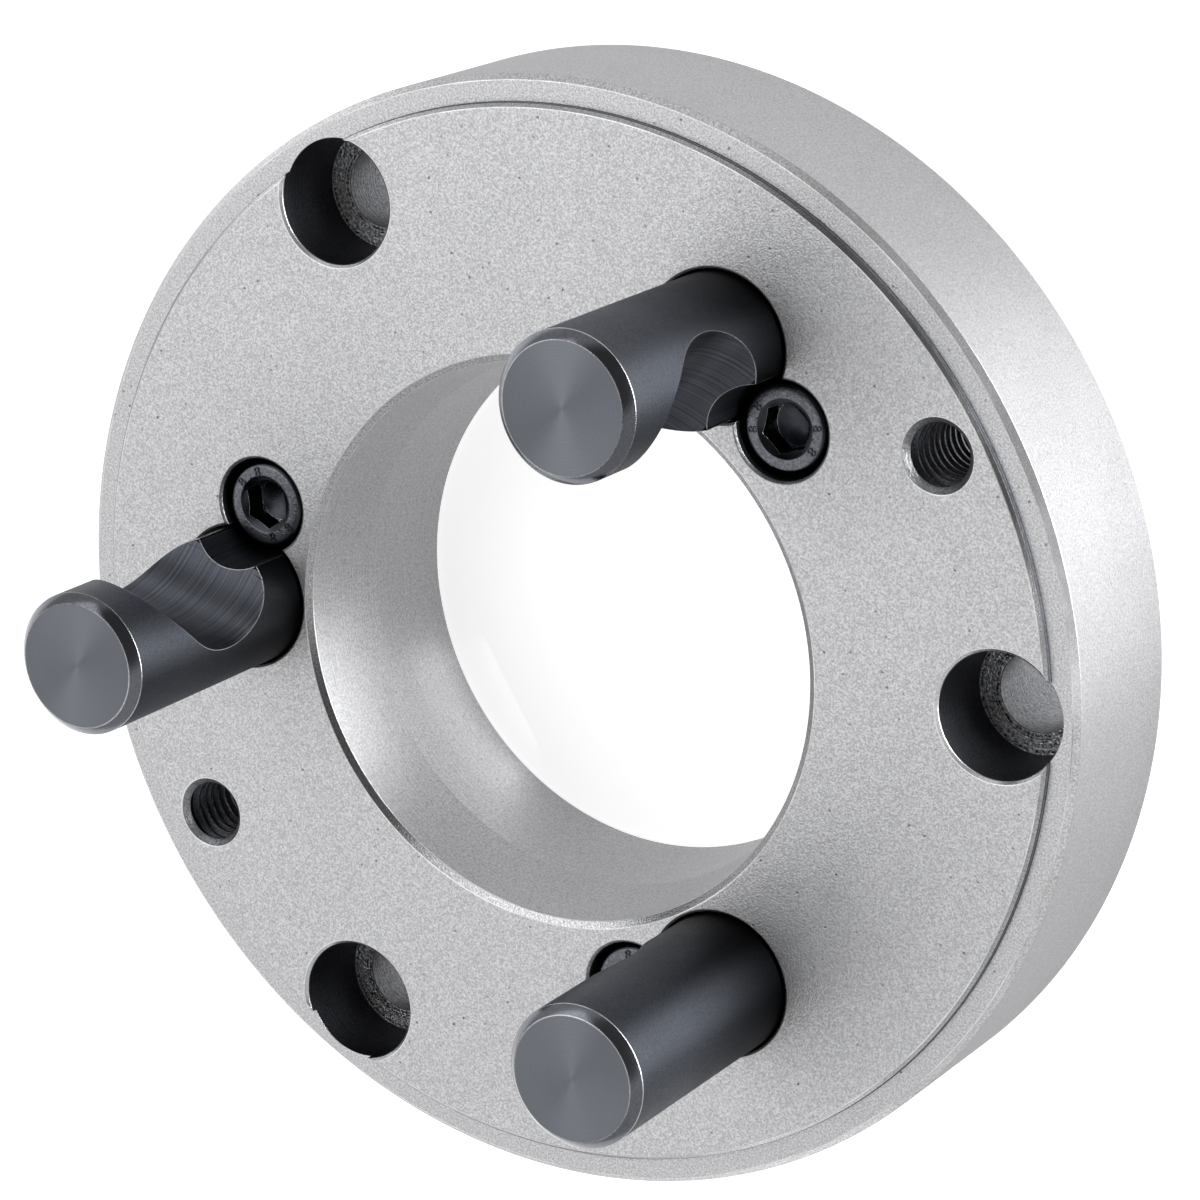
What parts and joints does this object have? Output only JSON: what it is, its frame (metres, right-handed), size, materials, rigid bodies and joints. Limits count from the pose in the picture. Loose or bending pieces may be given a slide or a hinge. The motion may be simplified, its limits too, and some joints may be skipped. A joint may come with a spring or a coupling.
{
  "type": "chuck adapter plate",
  "caption": "Round steel plate that mounts a lathe chuck on a cam-lock spindle nose: tapered seat, cam studs held by lock screws, counterbored screw holes and a register at the back.",
  "frame": {"origin": "on the plate's axis, in the end face of the chuck register, which the plate lies on", "axes": "+Z along the spindle axis, from the chuck side towards the cam studs; +X through one of the counterbored holes; the tapped jacking holes lie on the Y axis"},
  "size_m": [0.1254, 0.1254, 0.056],
  "materials": {
    "plate_steel": "ground and fine blasted, satin",
    "stud_black_oxide": "black oxide over fine turning, satin",
    "screw_black_oxide": "oiled black oxide"
  },
  "bodies": {
    "root": {"adapter_plate": "plate_steel", "cam_stud_1": "stud_black_oxide", "cam_stud_2": "stud_black_oxide", "cam_stud_3": "stud_black_oxide", "lock_screw_1": "screw_black_oxide", "lock_screw_2": "screw_black_oxide", "lock_screw_3": "screw_black_oxide"}
  },
  "joints": []
}
